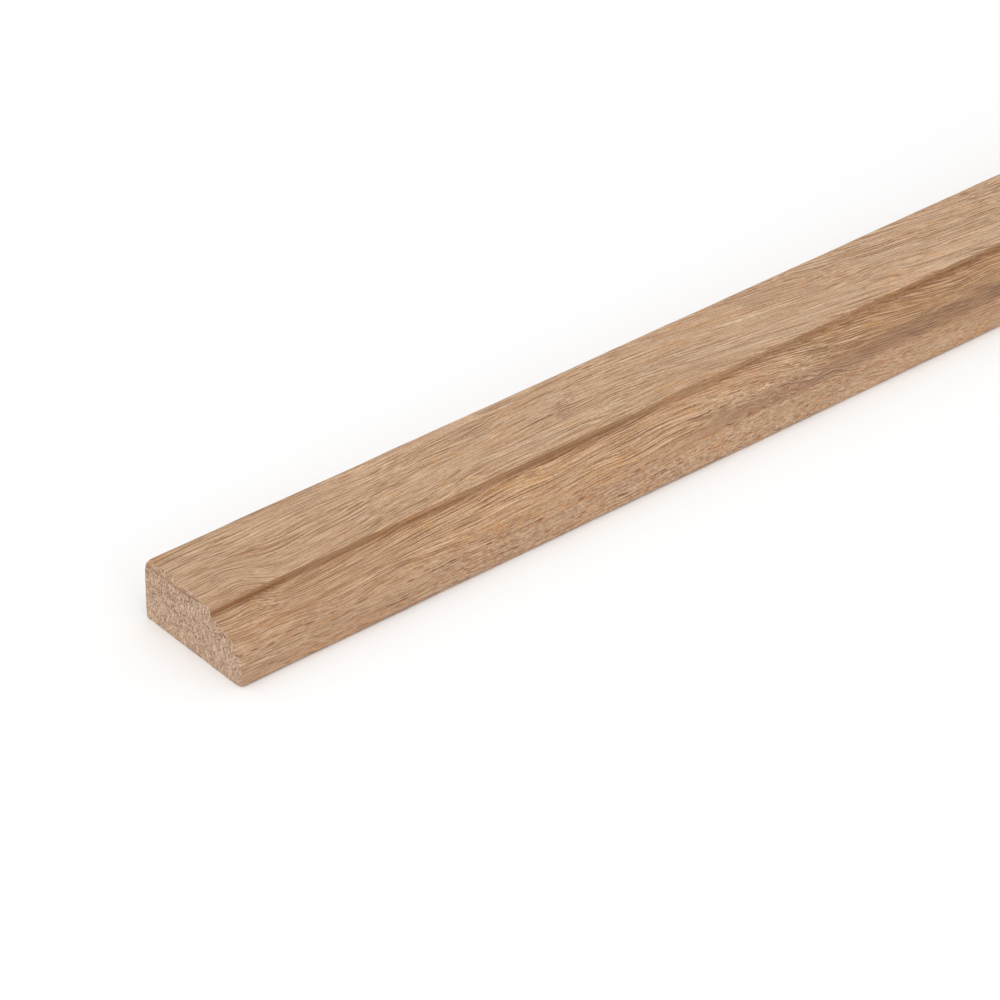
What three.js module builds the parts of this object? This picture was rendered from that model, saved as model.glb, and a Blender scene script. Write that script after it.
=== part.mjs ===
// Solid oak threshold strip: one length of timber, machined all round to a single section.
// The high side is a broad flat. A low step drops from it to a tread, which falls forward and
// rolls over a large nose into the front face. The ends are sawn square.
//
// Millimetres. +X runs along the strip, +Y points to the high back edge, +Z points up.
// The origin is the middle of the underside.
import * as THREE from "three";

// Driving dimensions.
const LENGTH = 900;
const WIDTH = 45;
const THICKNESS = 20;
const TOP_FLAT_WIDTH = 31;
const STEP_HEIGHT = 2.5;
const TREAD_FALL_DEGREES = 17;

// Radii of the section's corners.
const NOSE_RADIUS = 9;
const BACK_TOP_RADIUS = 1.2;
const STEP_EDGE_RADIUS = 0.4;
const STEP_FOOT_RADIUS = 0.8;
const FRONT_BOTTOM_RADIUS = 1.2;
const BACK_BOTTOM_RADIUS = 0.8;

// Straight pieces in each quarter turn of a rounded corner are twice this.
const ARC_STEPS = 8;

// The section's corners before rounding, anticlockwise as seen from the +X end with +Y to the right.
function sectionCorners() {
  const back = WIDTH / 2;
  const front = -WIDTH / 2;
  const step = back - TOP_FLAT_WIDTH;
  const stepFoot = THICKNESS - STEP_HEIGHT;
  const treadFall = (step - front) * Math.tan(THREE.MathUtils.degToRad(TREAD_FALL_DEGREES));
  return [
    { at: new THREE.Vector2(front, 0), radius: FRONT_BOTTOM_RADIUS },
    { at: new THREE.Vector2(back, 0), radius: BACK_BOTTOM_RADIUS },
    { at: new THREE.Vector2(back, THICKNESS), radius: BACK_TOP_RADIUS },
    { at: new THREE.Vector2(step, THICKNESS), radius: STEP_EDGE_RADIUS },
    { at: new THREE.Vector2(step, stepFoot), radius: STEP_FOOT_RADIUS },
    { at: new THREE.Vector2(front, stepFoot - treadFall), radius: NOSE_RADIUS },
  ];
}

// Adds to the shape the arc that rounds one corner, tangent to both of its sides.
function addRoundedCorner(shape, before, corner, after) {
  const toBefore = before.clone().sub(corner.at).normalize();
  const toAfter = after.clone().sub(corner.at).normalize();
  const halfAngle = Math.acos(toBefore.dot(toAfter)) / 2;
  const bisector = toBefore.clone().add(toAfter).normalize();
  const centre = corner.at.clone().addScaledVector(bisector, corner.radius / Math.sin(halfAngle));
  const tangentLength = corner.radius / Math.tan(halfAngle);
  const start = corner.at.clone().addScaledVector(toBefore, tangentLength).sub(centre);
  const end = corner.at.clone().addScaledVector(toAfter, tangentLength).sub(centre);
  const clockwise = start.cross(end) < 0;
  shape.absarc(centre.x, centre.y, corner.radius, start.angle(), end.angle(), clockwise);
}

// The closed outline of the section, its straight sides joined by rounded corners.
function sectionShape() {
  const corners = sectionCorners();
  const shape = new THREE.Shape();
  corners.forEach((corner, i) => {
    const before = corners[(i + corners.length - 1) % corners.length].at;
    const after = corners[(i + 1) % corners.length].at;
    addRoundedCorner(shape, before, corner, after);
  });
  return shape;
}

function oakMaterial() {
  return new THREE.MeshStandardMaterial({ name: "oak", color: 0xbb9879, roughness: 0.62, metalness: 0 });
}

// The strip: its section run along X, with the section's own axes turned to Y and Z.
function thresholdStrip() {
  const geometry = new THREE.ExtrudeGeometry(sectionShape(), {
    depth: LENGTH,
    steps: 1,
    curveSegments: ARC_STEPS,
    bevelEnabled: false,
  });
  const strip = new THREE.Mesh(geometry, oakMaterial());
  strip.name = "threshold_strip";
  const sectionAcross = new THREE.Vector3(0, 1, 0);
  const sectionUp = new THREE.Vector3(0, 0, 1);
  const along = new THREE.Vector3(1, 0, 0);
  strip.setRotationFromMatrix(new THREE.Matrix4().makeBasis(sectionAcross, sectionUp, along));
  strip.position.x = -LENGTH / 2;
  return strip;
}

const part = new THREE.Group();
part.add(thresholdStrip());

export default part;
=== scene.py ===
"""Looks for the solid oak threshold strip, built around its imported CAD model.

The strip is one piece of wood. Its mesh is lofted from the CAD node's own section, with eased and
torn end edges. Its material is one block of oak worked out in three dimensions: the same growth
rings, vessels and rays show as lines on the long faces and as pores on the sawn ends.
"""
import math
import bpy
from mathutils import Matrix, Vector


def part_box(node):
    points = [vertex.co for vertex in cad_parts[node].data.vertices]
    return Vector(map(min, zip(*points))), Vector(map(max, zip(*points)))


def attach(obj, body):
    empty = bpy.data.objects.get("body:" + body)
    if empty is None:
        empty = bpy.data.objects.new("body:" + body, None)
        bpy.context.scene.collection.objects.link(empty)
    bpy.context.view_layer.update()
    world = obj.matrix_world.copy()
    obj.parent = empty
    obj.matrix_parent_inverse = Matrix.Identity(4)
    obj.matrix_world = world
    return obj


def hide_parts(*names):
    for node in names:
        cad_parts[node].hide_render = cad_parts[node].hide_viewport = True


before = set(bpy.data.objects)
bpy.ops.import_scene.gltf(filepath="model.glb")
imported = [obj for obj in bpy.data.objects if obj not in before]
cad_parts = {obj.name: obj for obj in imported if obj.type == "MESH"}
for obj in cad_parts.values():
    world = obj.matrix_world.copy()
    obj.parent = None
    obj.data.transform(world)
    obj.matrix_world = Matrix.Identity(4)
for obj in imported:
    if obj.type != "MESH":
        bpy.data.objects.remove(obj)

from types import SimpleNamespace

import bpy
import numpy as np
from mathutils import Matrix, Vector, noise

NODE = "threshold_strip"
MM = 0.001
CAD_LOW, CAD_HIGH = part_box(NODE)
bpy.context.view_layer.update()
SECTION_MIDDLE = np.array([(CAD_LOW.y + CAD_HIGH.y) / 2, (CAD_LOW.z + CAD_HIGH.z) / 2])

# Camera, placed from the strip's near upper back edge.
CAMERA_AZIMUTH = math.radians(-39.97)
CAMERA_ELEVATION = math.radians(34.47)
CAMERA_ROLL = math.radians(0.32)
CAMERA_LENS_MM = 174.9
CAMERA_SENSOR_MM = 36
CAMERA_FAR_LIMIT = 100
CAMERA_DISTANCE = 1.4149
AIM_FROM_END = 0.1001
AIM_FROM_BACK = 0.0384
AIM_HEIGHT = 0.01745

# The studio.
FLOOR_HALF_WIDTH = 12
FLOOR_GREY = 0.94
ROOM_BRIGHTNESS = 0.8

# How finely the mesh is cut.
OUTLINE_STEP = 0.6 * MM
STATION_FIRST_STEP = 0.05 * MM
STATION_GROWTH = 1.8
CAP_SCALES = (0.985, 0.9, 0.8, 0.7, 0.6, 0.4)
NORMAL_REACH = 1.5 * MM
SAME_PLACE = 0.001 * MM
OUTLINE_DECIMALS = 7

# How steep the outline is where the step's wall starts and where it is in full, as the sine of its
# slope, and how far below the foot the wall may reach.
WALL_STEEPNESS = (1 / 2, 5 / 6)
BELOW_FOOT = 0.2 * MM

# What the plane, the saw and handling have left of the edges.
END_PATTERN_SHIFT = 5 * MM
END_EASING = 0.25 * MM
EASING_UNEVENNESS = 0.8
EASING_GRAIN = 2.2 * MM
CORNER_EASING = 1.2 * MM
CORNER_REACH = 4 * MM
CORNER_LENGTH_RATIO = 1.1
TORN_DEPTH = 1.8 * MM
TORN_SHARE = 0.8
TORN_UNEVENNESS = 0.35
TORN_GRAIN = 1.7 * MM
TORN_HEIGHT = 1.2 * MM
TORN_FROM_BACK = 11.5 * MM
TORN_HALF_WIDTH = 18 * MM
TORN_LENGTH_RATIO = 0.75
FULLY_TORN = 0.07 * TORN_DEPTH
NICK_DEPTH = 0.6 * MM
NICK_HEIGHT = 0.5 * MM
NICK_FROM_FRONT = 4 * MM
NICK_HALF_WIDTH = 1.3 * MM
ARRIS_WANDER = 0.12 * MM
ARRIS_WAVELENGTH = 45 * MM
ARRIS_SEED = 3
ARRIS_BEND = 0.2
FOOT_WANDER = 0.12 * MM
FOOT_WAVELENGTH = 22 * MM
FOOT_SEED = 5
FOOT_REACH = 0.9 * MM
FOOT_BEND = -0.01
WAVE_RATIOS = (0.6, 1.05, 1.5, 1.95)

# Where the grain changes along the strip, in millimetres from its near end: where each change
# starts, where it is full, where it fades from and where it is gone.
KNOT_SWIRL = (12, 29, 30, 120)
KNOT_CREST = (4, 14, 13, 22)
RUN_OUT = (165, 345, 360, 640)
CURL = (168, 195, 215, 250)
CALM_TOP = (160, 190, 260, 330)
PALE_TREAD = (160, 190, 215, 240)
VIVID_TREAD = (200, 250, 330, 450)
FLECKED_FRONT = (50, 90, 190, 225)
STAINED_TREAD = (215, 262, 330, 430)
DARK_NOSE = (160, 190, 330, 430)

# Where it changes across the strip, from its back face, and up it: a middle and a reach to each side.
KNOT_ACROSS = (27.5, 14)
CURL_ACROSS = (42.5, 9)
MINERAL_LEVEL = (15.1, 0.75)
DARK_NOSE_LEVEL = (12.3, 2.6)

# Distance between growth rings, and between the wavy fibre lines, in millimetres.
RING_SPACING = 5.0
LINE_SPACING = 1.2

# Distances between the patches of noise that neighbouring seeds give.
CLOUD_SEED_STEP = 7.3
CELL_SEED_STEP = 5.1

# Colours of the oak's long faces, as display values from 0 to 255.
PLANED_LIGHT = (198, 163, 130)
PLANED_DARK = (182, 145, 110)
TREAD_BROWN = (186, 140, 91)
FRONT_BROWN = (180, 142, 110)
PINK = (194, 150, 124)
GOLD = (204, 142, 76)
# Groove and crest colours are grain colour with painted shade and a painted highlight of the fibre ridges.
GROOVE_GRAIN_AND_SHADE = (122, 81, 51)
CREST_GRAIN_AND_HIGHLIGHT = (230, 200, 166)
THIN_DARK = (130, 88, 58)
THIN_LIGHT = (226, 194, 160)
FIBRE = (130, 90, 60)
GRIT_DARK = (138, 98, 66)
GRIT_LIGHT = (228, 198, 164)
RING_LINE = (176, 112, 60)
MINERAL = (158, 104, 54)
VESSEL = (126, 74, 40)
FLECK_LIGHT = (214, 184, 158)
FLECK_DARK = (150, 112, 84)
STAIN = (166, 118, 76)
HANDLED = (172, 134, 102)
STREAK = (134, 98, 74)
# The step's wall colour is painted shade of its recess mixed with the cutter's browning; the foot colour
# is painted shade in the inner corner.
WALL_SCORCH_AND_SHADE = (136, 86, 36)
FOOT_SHADE = (120, 74, 34)
CORNER_BROWN = (176, 118, 70)
RUBBED = (216, 184, 152)

# Colours of its sawn ends and of their torn edges.
END_LIGHT = (214, 184, 157)
END_DARK = (164, 127, 101)
RAY = (232, 206, 176)
END_GOLD = (204, 168, 112)
END_PINK = (196, 148, 124)
PORE = (122, 84, 60)
SPLINTER = (168, 126, 88)
# Painted shade of a crack under the torn edge:
CRACK_SHADE = (110, 68, 42)


def add_object(name, data):
    """A new object that shows data in the scene."""
    thing = bpy.data.objects.new(name, data)
    bpy.context.scene.collection.objects.link(thing)
    return thing


def make_camera():
    """The camera, looking down on the strip's near end along its length."""
    aim = Vector((CAD_LOW.x + AIM_FROM_END, CAD_HIGH.y - AIM_FROM_BACK, AIM_HEIGHT))
    right = Vector((math.cos(CAMERA_AZIMUTH), math.sin(CAMERA_AZIMUTH), 0))
    level_back = Vector((math.sin(CAMERA_AZIMUTH), -math.cos(CAMERA_AZIMUTH), 0))
    back = level_back * math.cos(CAMERA_ELEVATION) + Vector((0, 0, math.sin(CAMERA_ELEVATION)))
    up = back.cross(right)
    turned_right = right * math.cos(CAMERA_ROLL) + up * math.sin(CAMERA_ROLL)
    turned_up = back.cross(turned_right)
    data = bpy.data.cameras.new("camera")
    data.lens = CAMERA_LENS_MM
    data.sensor_width = CAMERA_SENSOR_MM
    data.clip_end = CAMERA_FAR_LIMIT
    camera = add_object("camera", data)
    camera.matrix_world = Matrix((turned_right, turned_up, back)).transposed().to_4x4()
    camera.location = aim + back * CAMERA_DISTANCE
    bpy.context.scene.camera = camera


def section_outline():
    """The section's outline from the CAD node's near end: (y, z) rows, anticlockwise as seen from +X."""
    corners = np.array([vertex.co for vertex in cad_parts[NODE].data.vertices])
    near_end = corners[corners[:, 0] < CAD_LOW.x + SAME_PLACE][:, 1:]
    outline = np.unique(np.round(near_end, OUTLINE_DECIMALS), axis=0)
    from_middle = outline - SECTION_MIDDLE
    return outline[np.argsort(np.arctan2(from_middle[:, 1], from_middle[:, 0]))]


def step_from_back():
    """Distance from the back face to the step's wall, the only upright run inside the section."""
    start = section_outline()
    end = np.roll(start, -1, axis=0)
    upright = np.abs(start[:, 0] - end[:, 0]) < SAME_PLACE
    inside = (start[:, 0] > CAD_LOW.y + MM) & (start[:, 0] < CAD_HIGH.y - MM)
    return CAD_HIGH.y - start[upright & inside, 0].mean()


def subdivided(outline):
    """The outline with its long sides cut into steps of at most OUTLINE_STEP."""
    rows = []
    for start, end in zip(outline, np.roll(outline, -1, axis=0)):
        count = math.ceil(np.linalg.norm(end - start) / OUTLINE_STEP)
        rows.extend(start + (end - start) * i / count for i in range(count))
    return np.array(rows)


def smoothed_normals(outline):
    """Outward normals averaged over NORMAL_REACH each way. They are shorter than 1 at a corner."""
    ahead = np.roll(outline, -1, axis=0) - outline
    lengths = np.linalg.norm(ahead, axis=1)
    side_normals = np.stack([ahead[:, 1], -ahead[:, 0]], axis=1)
    point_places = np.cumsum(lengths) - lengths
    side_places = point_places + lengths / 2
    gaps = np.abs(point_places[:, None] - side_places[None, :])
    gaps = np.minimum(gaps, lengths.sum() - gaps)
    weights = np.clip(1 - gaps / NORMAL_REACH, 0, None)
    return weights @ side_normals / (weights @ lengths)[:, None]


def section_shape():
    """The section's outline, with how sharp, how near the step's foot and how steep it is."""
    outline = subdivided(section_outline())
    normals = smoothed_normals(outline)
    sizes = np.linalg.norm(normals, axis=1)
    unit = normals / sizes[:, None]
    turning = np.cross(np.roll(unit, 1, axis=0), np.roll(unit, -1, axis=0))
    foot = outline[turning < FOOT_BEND].mean(axis=0)
    past = np.roll(outline, -1, axis=0) - np.roll(outline, 1, axis=0)
    steepness = -past[:, 1] / np.linalg.norm(past, axis=1)
    above_tread = outline[:, 1] > foot[1] - BELOW_FOOT
    return SimpleNamespace(
        outline=outline,
        normals=unit,
        arris=np.clip((1 - sizes) / ARRIS_BEND, 0, 1) * (turning > 0),
        foot_distance=np.hypot(*(outline - foot).T),
        wall=np.interp(steepness, WALL_STEEPNESS, (0, 1)) * above_tread,
    )


def stations():
    """Places along the strip, close together at the ends and wide apart in the middle."""
    half = (CAD_HIGH.x - CAD_LOW.x) / 2
    count = math.ceil((half / STATION_FIRST_STEP) ** (1 / STATION_GROWTH))
    from_end = half * (np.arange(count + 1) / count) ** STATION_GROWTH
    return np.concatenate([from_end - half, half - from_end[-2::-1]])


def wander(along, wavelength, seed):
    """A smooth irregular wave between about -1 and 1, the same on every run."""
    phases = np.random.default_rng(seed).uniform(0, 2 * math.pi, len(WAVE_RATIOS))
    turns = [along / (wavelength * ratio) for ratio in WAVE_RATIOS]
    waves = [np.sin(2 * math.pi * turn + phase) for turn, phase in zip(turns, phases)]
    return sum(waves) / (0.6 * len(waves))


def near(value, centre, width):
    """1 at centre, falling smoothly to 0 at width to each side."""
    return np.clip(1 - ((value - centre) / width) ** 2, 0, 1) ** 2


def rough(outline, end_sign, size):
    """Irregular values between about -1 and 1 along the outline, different at each end of the strip."""
    shift = end_sign * END_PATTERN_SHIFT
    return np.array([noise.noise(Vector((y, z, shift)) / size) for y, z in outline])


def eased_edge(outline, end_sign):
    """How far an end's edge is eased at each point. The near end (-1) has a nick in its lower edge."""
    easing = END_EASING * (1 + EASING_UNEVENNESS * rough(outline, end_sign, EASING_GRAIN))
    if end_sign > 0:
        return easing
    y, z = outline.T
    nick = near(y, CAD_LOW.y + NICK_FROM_FRONT, NICK_HALF_WIDTH) * (z < CAD_LOW.z + NICK_HEIGHT)
    return easing + nick * NICK_DEPTH


def worn_corners(outline):
    """How far an end's upper back corner and lower front corner are worn away at each point."""
    from_back_corner = np.hypot(*(outline - (CAD_HIGH.y, CAD_HIGH.z)).T)
    from_front_corner = np.hypot(*(outline - (CAD_LOW.y, CAD_LOW.z)).T)
    nearness = near(from_back_corner, 0, CORNER_REACH) + near(from_front_corner, 0, CORNER_REACH)
    return CORNER_EASING * nearness


def torn_edge(outline, end_sign):
    """How deep the saw has torn an end's upper edge at each point."""
    y, z = outline.T
    top = np.clip((z - CAD_HIGH.z) / TORN_HEIGHT + 1, 0, 1)
    reach = near(y, CAD_HIGH.y - TORN_FROM_BACK, TORN_HALF_WIDTH)
    unevenness = TORN_SHARE + TORN_UNEVENNESS * rough(outline, end_sign, TORN_GRAIN)
    return TORN_DEPTH * top * reach * unevenness


def end_loss(shape, end_sign):
    """What an end has lost at each point of its outline: how far in and along, and how torn it is."""
    eased = eased_edge(shape.outline, end_sign)
    corner = worn_corners(shape.outline)
    chip = torn_edge(shape.outline, end_sign)
    outward = shape.outline - SECTION_MIDDLE
    outward = outward / np.linalg.norm(outward, axis=1)[:, None]
    inward = shape.normals * eased[:, None] + outward * corner[:, None]
    inward[:, 1] += chip
    return SimpleNamespace(
        inward=inward,
        along=eased + CORNER_LENGTH_RATIO * corner + TORN_LENGTH_RATIO * chip,
        torn=np.clip(chip / FULLY_TORN, 0, 1),
    )


def lofted_rings(shape):
    """Rings of points from end to end, with how torn and how worn the wood is at each point."""
    losses = {sign: end_loss(shape, sign) for sign in (-1, 1)}
    foot_nearness = near(shape.foot_distance, 0, FOOT_REACH)
    rings, torn, worn = [], [], []
    for x in stations():
        loss = losses[-1 if x < 0 else 1]
        share = np.clip(1 - (CAD_HIGH.x - abs(x)) / loss.along, 0, 1)
        rounded = 1 - np.sqrt(1 - share**2)
        dip = rounded * (1 - loss.torn) + share * loss.torn
        wear = shape.arris * ARRIS_WANDER * (1 + wander(x, ARRIS_WAVELENGTH, ARRIS_SEED))
        wear = wear + foot_nearness * FOOT_WANDER * wander(x, FOOT_WAVELENGTH, FOOT_SEED)
        section = shape.outline - shape.normals * wear[:, None] - loss.inward * dip[:, None]
        rings.append(np.column_stack([np.full(len(section), x), section]))
        torn.append(share * loss.torn)
        worn.append(np.maximum(shape.arris, share * (1 - loss.torn)))
    return rings, torn, worn


def shrunk(ring, scale):
    """A smaller ring in the same plane."""
    inner = ring.copy()
    inner[:, 1:] = SECTION_MIDDLE + (ring[:, 1:] - SECTION_MIDDLE) * scale
    return inner


def loft_faces(ring_count, point_count):
    """Four-sided faces between neighbouring rings, and one face to close each end."""
    faces = []
    for first in range(0, (ring_count - 1) * point_count, point_count):
        second = first + point_count
        for i in range(point_count):
            j = (i + 1) % point_count
            faces.append((first + i, first + j, second + j, second + i))
    last = (ring_count - 1) * point_count
    faces.append(tuple(reversed(range(point_count))))
    faces.append(tuple(range(last, last + point_count)))
    return faces


def add_field(mesh, name, values):
    """A number at each vertex, which the material reads by name."""
    mesh.attributes.new(name, "FLOAT", "POINT").data.foreach_set("value", values.astype(np.float32))


def make_strip():
    """The strip, lofted from its near end to its far one, with smaller rings across each sawn face."""
    shape = section_shape()
    rings, torn, worn = lofted_rings(shape)
    for scale in CAP_SCALES:
        rings.insert(0, shrunk(rings[0], scale))
        rings.append(shrunk(rings[-1], scale))
    on_caps = [np.zeros(len(shape.outline))] * len(CAP_SCALES)
    mesh = bpy.data.meshes.new("oak_strip")
    mesh.from_pydata(np.concatenate(rings).tolist(), [], loft_faces(len(rings), len(shape.outline)))
    mesh.shade_smooth()
    add_field(mesh, "wall", np.tile(shape.wall, len(rings)))
    add_field(mesh, "worn", np.concatenate(on_caps + worn + on_caps))
    add_field(mesh, "foot_distance", np.tile(shape.foot_distance / MM, len(rings)))
    add_field(mesh, "torn", np.concatenate(on_caps + torn + on_caps))
    return add_object("oak_strip", mesh)


def linear(display_colour):
    """A linear colour, with alpha, from three display values between 0 and 255."""
    shares = [value / 255 for value in display_colour]
    return (*(s / 12.92 if s <= 0.04045 else ((s + 0.055) / 1.055) ** 2.4 for s in shares), 1)


class Field:
    """A number that varies over the surface: a shader socket with arithmetic."""

    def __init__(self, tree, socket):
        self.tree = tree
        self.socket = socket

    def math(self, operation, *others):
        """A Math node on this field and the others, which are fields or numbers."""
        node = self.tree.nodes.new("ShaderNodeMath")
        node.operation = operation
        for slot, value in enumerate((self, *others)):
            if isinstance(value, Field):
                self.tree.links.new(value.socket, node.inputs[slot])
            else:
                node.inputs[slot].default_value = value
        return Field(self.tree, node.outputs[0])

    def __add__(self, other):
        return self.math("ADD", other)

    def __sub__(self, other):
        return self.math("SUBTRACT", other)

    def __mul__(self, other):
        return self.math("MULTIPLY", other)

    def __truediv__(self, other):
        return self.math("DIVIDE", other)

    def __rsub__(self, other):
        return self * -1 + other

    def squared(self):
        return self * self

    def ramp(self, low, high):
        """0 below low and 1 above high, or the other way round, with a smooth step between."""
        node = self.tree.nodes.new("ShaderNodeMapRange")
        node.interpolation_type = "SMOOTHSTEP"
        rising = low < high
        node.inputs["From Min"].default_value = min(low, high)
        node.inputs["From Max"].default_value = max(low, high)
        node.inputs["To Min"].default_value = 0 if rising else 1
        node.inputs["To Max"].default_value = 1 if rising else 0
        self.tree.links.new(self.socket, node.inputs["Value"])
        return Field(self.tree, node.outputs["Result"])

    def between(self, start, full, fade, gone):
        """1 from full to fade, and 0 before start and after gone."""
        return self.ramp(start, full) * self.ramp(gone, fade)

    def near(self, centre, reach):
        """1 at centre, falling smoothly to 0 at reach to each side."""
        return ((self - centre) / reach).squared().ramp(1, 0)


class Block:
    """The block of wood that the strip is cut from: places in millimetres, and patterns in them."""

    def __init__(self, tree):
        self.tree = tree
        place = tree.nodes.new("ShaderNodeTexCoord").outputs["Object"]
        self.place = [axis * (1 / MM) for axis in self.parts(place)]
        self.x, self.y, self.z = self.place
        self.from_end = self.x - CAD_LOW.x / MM
        self.from_back = CAD_HIGH.y / MM - self.y
        self.past_step = self.from_back - step_from_back() / MM

    def parts(self, vector):
        """The three numbers in a vector socket."""
        node = self.tree.nodes.new("ShaderNodeSeparateXYZ")
        self.tree.links.new(vector, node.inputs[0])
        return [Field(self.tree, output) for output in node.outputs]

    def scaled(self, place, size, shift):
        """A vector socket with each part of place divided by its size."""
        node = self.tree.nodes.new("ShaderNodeCombineXYZ")
        for slot, (axis, length) in enumerate(zip(place, size)):
            self.tree.links.new((axis / length + shift).socket, node.inputs[slot])
        return node.outputs[0]

    def clouds(self, place, size, seed, detail=0.0, roughness=0.5):
        """Smooth noise between 0 and 1, with blobs about size = (x, y, z) millimetres across."""
        node = self.tree.nodes.new("ShaderNodeTexNoise")
        self.tree.links.new(self.scaled(place, size, seed * CLOUD_SEED_STEP), node.inputs["Vector"])
        node.inputs["Scale"].default_value = 1
        node.inputs["Detail"].default_value = detail
        node.inputs["Roughness"].default_value = roughness
        return Field(self.tree, node.outputs["Fac"])

    def cells(self, place, size, seed, randomness=1.0):
        """Distance to the nearest of scattered points, in cells of size = (x, y, z) millimetres."""
        node = self.tree.nodes.new("ShaderNodeTexVoronoi")
        self.tree.links.new(self.scaled(place, size, seed * CELL_SEED_STEP), node.inputs["Vector"])
        node.inputs["Scale"].default_value = 1
        node.inputs["Randomness"].default_value = randomness
        return Field(self.tree, node.outputs["Distance"])

    def vertex_field(self, name):
        """A number that make_strip has put on the vertices."""
        node = self.tree.nodes.new("ShaderNodeAttribute")
        node.attribute_name = name
        return Field(self.tree, node.outputs["Fac"])

    def facing_end(self):
        """1 on a face that looks along the strip, 0 on the long faces."""
        normal = self.tree.nodes.new("ShaderNodeNewGeometry").outputs["True Normal"]
        return self.parts(normal)[0].math("ABSOLUTE")


class Oak(Block):
    """The oak's faces and patterns, shared by its colour, roughness and bump."""

    def __init__(self, tree):
        super().__init__(tree)
        self.find_faces()
        self.bend_grain()
        self.grow_rings()
        self.raise_fibres()
        self.choose_contrast()
        self.open_end_grain()

    def find_faces(self):
        """Where the faces and the worn places are, each from 0 to 1."""
        self.torn = self.vertex_field("torn")
        self.wall = self.vertex_field("wall")
        self.end = self.facing_end().ramp(0.35, 0.8) * (1 - self.torn * 0.8)
        self.side = 1 - self.end
        self.tread = self.past_step.ramp(-0.2, 0.5) * self.z.ramp(9, 14)
        self.nose = self.past_step.ramp(-0.5, 5.5)
        self.vivid_tread = self.tread * self.from_end.between(*VIVID_TREAD)
        self.low = self.z.ramp(14.5, 11)
        off_step = (self.past_step / 2.5).squared().ramp(0.3, 1)
        patches = self.clouds(self.place, (9, 2, 2), 26, detail=2.0).ramp(0.35, 0.65)
        self.rubbed = self.vertex_field("worn") * off_step * patches

    def bend_grain(self):
        """Where each point would lie if its fibres ran straight: bent by a knot, a run-out and a curl."""
        sway = (self.clouds(self.place, (75, 30, 30), 1) - 0.5) * 6
        ripple = (self.clouds(self.place, (22, 9, 9), 2) - 0.5) * 2
        lift = (self.clouds(self.place, (80, 40, 40), 3) - 0.5) * 5
        swirl = self.from_end.between(*KNOT_SWIRL) * 4.2 - self.from_end.between(*KNOT_CREST) * 1.2
        knot = swirl * self.from_back.near(*KNOT_ACROSS)
        run_out = self.from_end.between(*RUN_OUT) * (self.from_back.ramp(48.5, 34.5) * 8 + 12)
        curl = (self.clouds(self.place, (5, 2.4, 2.4), 21, detail=1.0) - 0.5) * 2.6
        curl = curl * self.from_end.between(*CURL) * self.from_back.near(*CURL_ACROSS)
        self.across = self.y + sway + ripple + knot + run_out + curl
        self.upward = self.z + lift + ripple * 0.6 + curl
        self.flow = (self.x, self.across, self.upward)

    def grow_rings(self):
        """Growth rings, and the vessels that open in their early wood."""
        phase = ((self.upward + self.across * 0.18 - 0.5) / RING_SPACING).math("FRACT")
        self.early = phase.between(0, 0.08, 0.22, 0.42)
        self.broken = self.clouds(self.flow, (5, 1.2, 1.2), 22, detail=1.0)
        self.ring_line = phase.between(0, 0.03, 0.09, 0.16) * self.broken.ramp(0.4, 0.6) * self.low
        dashes = self.cells(self.flow, (5.5, 0.9, 0.9), 10).ramp(0.38, 0.22)
        dashes = dashes * (self.early * 0.5 + 0.5) * (self.low * 0.8 + 0.12)
        self.vessel = dashes * (self.from_end.ramp(250, 210) * 0.6 + 0.4)

    def raise_fibres(self):
        """Near-parallel ridges and grooves that part, join and fade."""
        wobble = self.clouds(self.flow, (45, 3.2, 3.2), 12, detail=1.0) * 2.6
        turns = (self.across + self.upward) / LINE_SPACING + wobble
        waves = (turns * (2 * math.pi)).math("SINE")
        strands = (self.clouds(self.flow, (34, 0.5, 0.5), 5, detail=1.0) - 0.5) * 5
        self.lines = waves * 0.55 + strands * 0.6
        strength = self.clouds(self.flow, (48, 5, 5), 6, detail=1.0).ramp(0.28, 0.56)
        self.strength = strength * 0.7 + 0.3 + self.vivid_tread * 0.9
        self.groove = self.lines.ramp(-0.1, -0.9) * self.strength
        self.crest = self.lines.ramp(0.2, 0.9) * self.strength
        self.thin = self.clouds(self.flow, (13, 0.26, 0.26), 18, detail=1.0)

    def choose_contrast(self):
        """How strongly light and dark lines show on each face."""
        smooth_top = self.past_step.ramp(-0.5, -1.5) * (self.from_end.between(*CALM_TOP) * 0.15 + 0.08)
        contrast = self.from_end.ramp(110, 30) * 0.25 - self.low * 0.48 - smooth_top + 1
        self.light_contrast = contrast * (1 - self.wall * 0.6)
        near_tread = self.tread * (self.from_end.ramp(75, 45) * 0.35 + 0.1)
        extra = self.z.ramp(13, 15) * (1 - self.wall) * (self.vivid_tread * 0.5 + near_tread)
        self.dark_contrast = extra + self.light_contrast * 1.15

    def open_end_grain(self):
        """Specks, rays and the pores of the early wood, as the sawn ends cut them."""
        self.speck = self.clouds(self.place, (0.5, 0.45, 0.6), 15, detail=1.0)
        self.rays = self.clouds(self.place, (1.5, 0.42, 2.6), 11, detail=1.0)
        dots = self.cells(self.flow, (1.4, 0.7, 0.95), 16, randomness=0.75)
        zones = self.clouds(self.place, (4, 2.6, 1.6), 17, detail=1.0).ramp(0.4, 0.58)
        share = (zones * 0.75 + self.early * 0.3) * (self.z.ramp(1, 11) * 0.45 + 0.55)
        self.pores = dots.ramp(0.44, 0.24) * share


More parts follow.
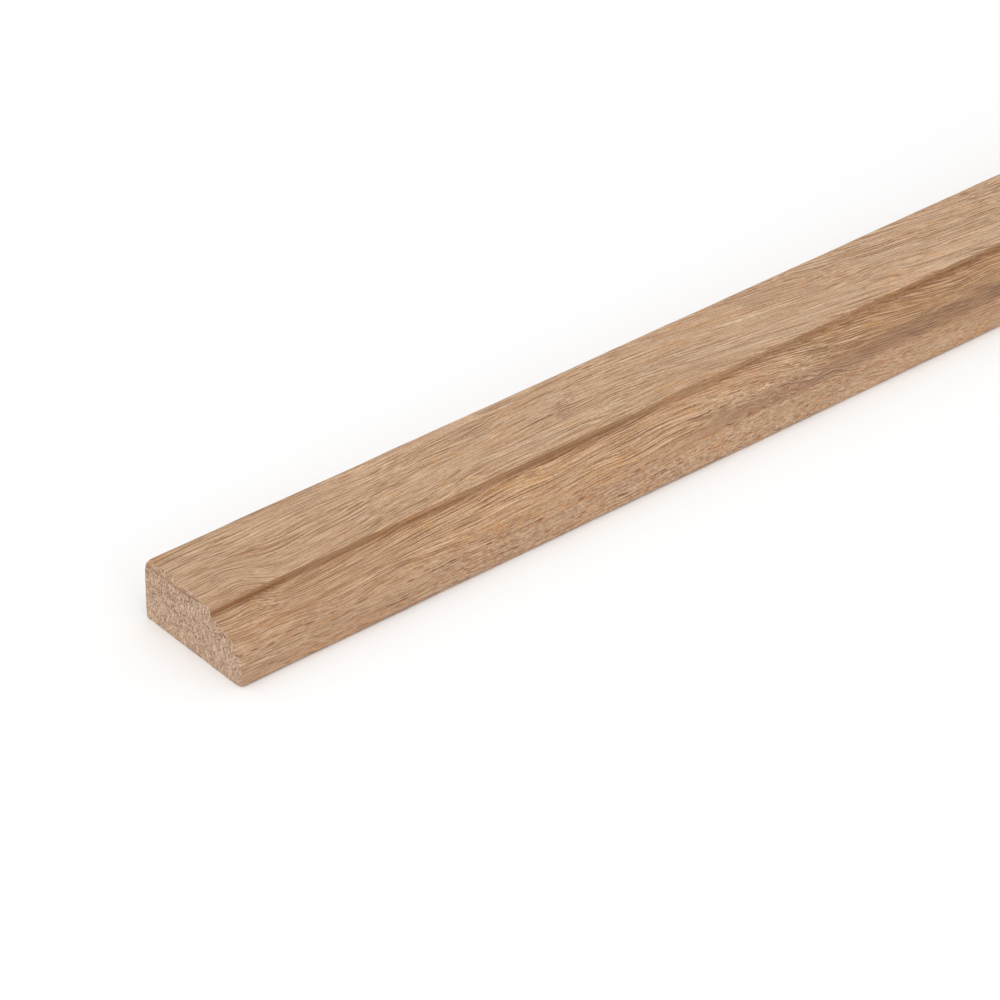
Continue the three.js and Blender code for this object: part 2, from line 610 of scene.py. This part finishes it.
class Paint:
    """A colour with tints laid over it one after another."""

    def __init__(self, tree, display_colour):
        self.tree = tree
        self.colour = linear(display_colour)

    def tint(self, colour, amount):
        """Moves the paint towards colour, which is display values or another paint, by amount."""
        node = self.tree.nodes.new("ShaderNodeMix")
        node.data_type = "RGBA"
        sockets = {socket.name: socket for socket in node.inputs if socket.type == "RGBA"}
        self.feed(self.colour, sockets["A"])
        self.feed(colour.colour if isinstance(colour, Paint) else linear(colour), sockets["B"])
        self.tree.links.new(amount.socket, node.inputs["Factor"])
        self.colour = next(socket for socket in node.outputs if socket.type == "RGBA")

    def feed(self, colour, socket):
        """Sets socket to a linear colour, or links it to the socket that colour is."""
        if isinstance(colour, tuple):
            socket.default_value = colour
        else:
            self.tree.links.new(colour, socket)


def tint_ground(paint, oak):
    """The broad tones under the lines: browner on the tread and front, with pink and gold patches."""
    tone = oak.clouds(oak.flow, (70, 6, 6), 4, detail=1.0)
    front = oak.z.ramp(17, 12) * oak.nose
    pink = oak.clouds(oak.flow, (16, 1.6, 1.6), 9, detail=1.0)
    gold = oak.clouds(oak.flow, (6, 0.7, 0.7), 8, detail=1.5).ramp(0.5, 0.66)
    gold_zones = oak.clouds(oak.flow, (28, 5, 5), 14).ramp(0.42, 0.62)
    paint.tint(PLANED_DARK, tone.ramp(0.35, 0.65))
    paint.tint(TREAD_BROWN, oak.tread * (0.64 - oak.from_end.between(*PALE_TREAD) * 0.34))
    paint.tint(FRONT_BROWN, front * 0.2)
    paint.tint(PINK, pink.ramp(0.5, 0.7) * 0.4)
    paint.tint(GOLD, gold * gold_zones * 0.65)


def tint_fibres(paint, oak):
    """The fibre lines, from the wide ridges down to the grit between them. The grooves get grain colour
    with painted shade, and the crests grain colour with a painted highlight.
    """
    fibre = oak.clouds(oak.flow, (2.2, 0.26, 0.26), 7, detail=1.0)
    grit = oak.clouds(oak.flow, (0.9, 0.4, 0.4), 27, detail=2.0)
    # Painted shade in the grooves and a painted highlight on the crests, over the grain colour.
    paint.tint(GROOVE_GRAIN_AND_SHADE, oak.groove * 0.8 * oak.dark_contrast)
    paint.tint(CREST_GRAIN_AND_HIGHLIGHT, oak.crest * 0.7 * oak.light_contrast)
    paint.tint(THIN_DARK, oak.thin.ramp(0.5, 0.28) * 0.75 * oak.dark_contrast)
    paint.tint(THIN_LIGHT, oak.thin.ramp(0.52, 0.7) * 0.6 * oak.light_contrast)
    paint.tint(FIBRE, fibre.ramp(0.46, 0.24) * 0.6)
    paint.tint(GRIT_DARK, grit.ramp(0.5, 0.3) * 0.24)
    paint.tint(GRIT_LIGHT, grit.ramp(0.5, 0.7) * 0.24)


def tint_figure(paint, oak):
    """Ring lines, vessels, the mineral streak near the end and the flecks low on the front."""
    level = (oak.z + oak.broken * 1.6).near(*MINERAL_LEVEL)
    mineral = level * oak.from_end.ramp(34, 26) * oak.past_step.ramp(1.5, 3.5)
    slanted = (oak.x + oak.z * 0.6, oak.y, oak.z)
    flecks = oak.clouds(slanted, (1.3, 0.75, 0.75), 24, detail=2.0, roughness=0.6)
    flecked = oak.z.ramp(11.5, 8) * oak.from_end.between(*FLECKED_FRONT)
    paint.tint(RING_LINE, oak.ring_line * 0.6)
    paint.tint(MINERAL, mineral * oak.thin.ramp(0.75, 0.35) * 0.65)
    paint.tint(VESSEL, oak.vessel)
    paint.tint(FLECK_LIGHT, flecks.ramp(0.54, 0.68) * flecked * 0.5)
    paint.tint(FLECK_DARK, flecks.ramp(0.46, 0.32) * flecked * 0.6)


def tint_zones(paint, oak):
    """The darker zones: the stained tread, the handled near end and the streak along the nose."""
    stained = oak.past_step.ramp(-1.5, 1.5) * oak.from_end.between(*STAINED_TREAD) * oak.z.ramp(6, 10)
    level = (oak.z + (oak.broken - 0.5) * 2).near(*DARK_NOSE_LEVEL)
    streak = level * oak.from_end.between(*DARK_NOSE) * oak.nose
    paint.tint(STAIN, stained * 0.36)
    paint.tint(HANDLED, oak.from_end.ramp(85, 45) * 0.3)
    paint.tint(STREAK, streak * (oak.groove * 0.5 + 0.5))


def tint_step_scorch_and_shade(paint, oak):
    """The step's wall and foot, darkened: the wall is partly browned by the cutter and partly painted
    shade of the step's recess, and the foot is painted shade in its inner corner.
    """
    scorch_and_shade_patches = oak.clouds(oak.place, (26, 4, 1.6), 19, detail=1.0).ramp(0.3, 0.7)
    along = oak.from_end.ramp(75, 25) * 0.2 - oak.from_end.ramp(100, 190) * 0.07
    pale_lip = oak.z.ramp(18.6, 19.2) * oak.from_end.ramp(25, 4)
    # Painted shade on the step's wall, mixed with the cutter's browning, patchy along the strip.
    paint.tint(WALL_SCORCH_AND_SHADE, oak.wall * (scorch_and_shade_patches * 0.32 + along + 0.22) * (1 - pale_lip))
    # Painted shade in the inner corner along the step's foot.
    at_foot = oak.vertex_field("foot_distance").ramp(1.1, 0.55)
    paint.tint(FOOT_SHADE, at_foot * (scorch_and_shade_patches * 0.2 + 0.2))


def tint_edges(paint, oak):
    """The brown upper back corner of the near end, and the arrises rubbed pale."""
    down = CAD_HIGH.z / MM - oak.z
    from_corner = (oak.from_end / 8).squared() + (oak.from_back / 5).squared() + (down / 5).squared()
    paint.tint(CORNER_BROWN, from_corner.ramp(1.2, 0.2) * 0.45)
    paint.tint(RUBBED, oak.rubbed * 0.25)


def end_paint(oak):
    """The colour of the sawn ends."""
    patches = oak.clouds(oak.place, (1, 1.4, 1), 20, detail=1.0)
    paint = Paint(oak.tree, END_LIGHT)
    paint.tint(END_DARK, oak.speck.ramp(0.68, 0.32))
    paint.tint(RAY, oak.rays.ramp(0.54, 0.7) * 0.6)
    paint.tint(END_GOLD, patches.ramp(0.56, 0.7) * 0.5)
    paint.tint(END_PINK, patches.ramp(0.44, 0.32) * 0.5)
    paint.tint(PORE, oak.pores * 0.85)
    return paint


def tint_torn_edge(paint, oak):
    """The splinters along an end's torn upper edge, and the painted shade of a crack under them that the
    mesh does not cut.
    """
    splinters = oak.clouds(oak.place, (0.8, 0.4, 0.4), 23, detail=1.0)
    paint.tint(SPLINTER, oak.torn * splinters.ramp(0.3, 0.6) * 0.4)
    toward_front = oak.from_back.ramp(12.5, 24.5) * 0.7 + 0.3
    # Painted shade of a crack under the splinters, darker towards the front.
    paint.tint(CRACK_SHADE, oak.torn.ramp(0.6, 0.9) * toward_front * splinters.ramp(0.2, 0.4) * 0.85)


def oak_colour(oak):
    """The colour everywhere on the strip."""
    paint = Paint(oak.tree, PLANED_LIGHT)
    for lay_tints in (tint_ground, tint_fibres, tint_figure, tint_zones, tint_step_scorch_and_shade, tint_edges):
        lay_tints(paint, oak)
    paint.tint(end_paint(oak), oak.end)
    tint_torn_edge(paint, oak)
    return paint.colour


def oak_roughness(oak):
    """Rougher in the grooves and pores, and smoother on crests and rubbed edges."""
    rough_lines = oak.groove * 0.16 + oak.thin.ramp(0.5, 0.3) * 0.1
    long_faces = rough_lines - oak.crest * 0.08 - oak.rubbed * 0.14
    ends = oak.speck * 0.1 + oak.pores * 0.15 + 0.08
    return long_faces * oak.side + ends * oak.end + 0.56


def oak_height(oak):
    """The relief in millimetres: fibre ridges and vessels, and on the ends specks, pores and saw marks."""
    long_faces = oak.lines * oak.strength * 0.08 + oak.thin * 0.1 - oak.vessel * 0.12
    saw_path = oak.y * 0.35 + oak.z + oak.clouds(oak.place, (9, 9, 9), 25) * 1.5
    saw_marks = (saw_path * 4.5).math("SINE")
    ends = oak.speck * 0.25 - oak.pores * 0.3 + oak.rays * 0.1 + saw_marks * 0.03
    return long_faces * oak.side + ends * oak.end


def planed_oak():
    """Planed, unfinished oak."""
    material = bpy.data.materials.new("planed_oak")
    material.use_nodes = True
    tree = material.node_tree
    shader = tree.nodes["Principled BSDF"]
    oak = Oak(tree)
    tree.links.new(oak_colour(oak), shader.inputs["Base Color"])
    tree.links.new(oak_roughness(oak).socket, shader.inputs["Roughness"])
    bump = tree.nodes.new("ShaderNodeBump")
    bump.inputs["Distance"].default_value = MM
    tree.links.new(oak_height(oak).socket, bump.inputs["Height"])
    tree.links.new(bump.outputs["Normal"], shader.inputs["Normal"])
    return material


def pale_floor_material():
    """The studio floor's plain matt surface."""
    material = bpy.data.materials.new("floor_pale")
    material.use_nodes = True
    shader = material.node_tree.nodes["Principled BSDF"]
    shader.inputs["Base Color"].default_value = (FLOOR_GREY, FLOOR_GREY, FLOOR_GREY, 1)
    shader.inputs["Roughness"].default_value = 0.9
    return material


def make_floor():
    """A wide pale floor at the height the strip rests on."""
    half = FLOOR_HALF_WIDTH
    corners = [(-half, -half, 0), (half, -half, 0), (half, half, 0), (-half, half, 0)]
    mesh = bpy.data.meshes.new("floor")
    mesh.from_pydata(corners, [], [(0, 1, 2, 3)])
    mesh.materials.append(pale_floor_material())
    floor = add_object("floor", mesh)
    floor.location.z = CAD_LOW.z


def softbox(name, location, size, power):
    """A square area light aimed at the strip's middle."""
    data = bpy.data.lights.new(name, "AREA")
    data.size = size
    data.energy = power
    light = add_object(name, data)
    light.location = location
    light.rotation_euler = Vector(location).to_track_quat("Z", "Y").to_euler()


def make_light():
    """A white room, a large soft light above and a weaker one in front."""
    world = bpy.data.worlds.new("studio")
    world.use_nodes = True
    background = world.node_tree.nodes["Background"]
    background.inputs["Color"].default_value = (1, 1, 1, 1)
    background.inputs["Strength"].default_value = ROOM_BRIGHTNESS
    bpy.context.scene.world = world
    softbox("key", location=(-0.9, -0.3, 2.6), size=2.5, power=25.5)
    softbox("fill", location=(-0.6, -2.4, 0.9), size=1.4, power=6.2)
    bpy.context.scene.view_settings.view_transform = "Standard"


make_camera()
strip = make_strip()
strip.data.materials.append(planed_oak())
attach(strip, "root")
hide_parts(NODE)
make_floor()
make_light()
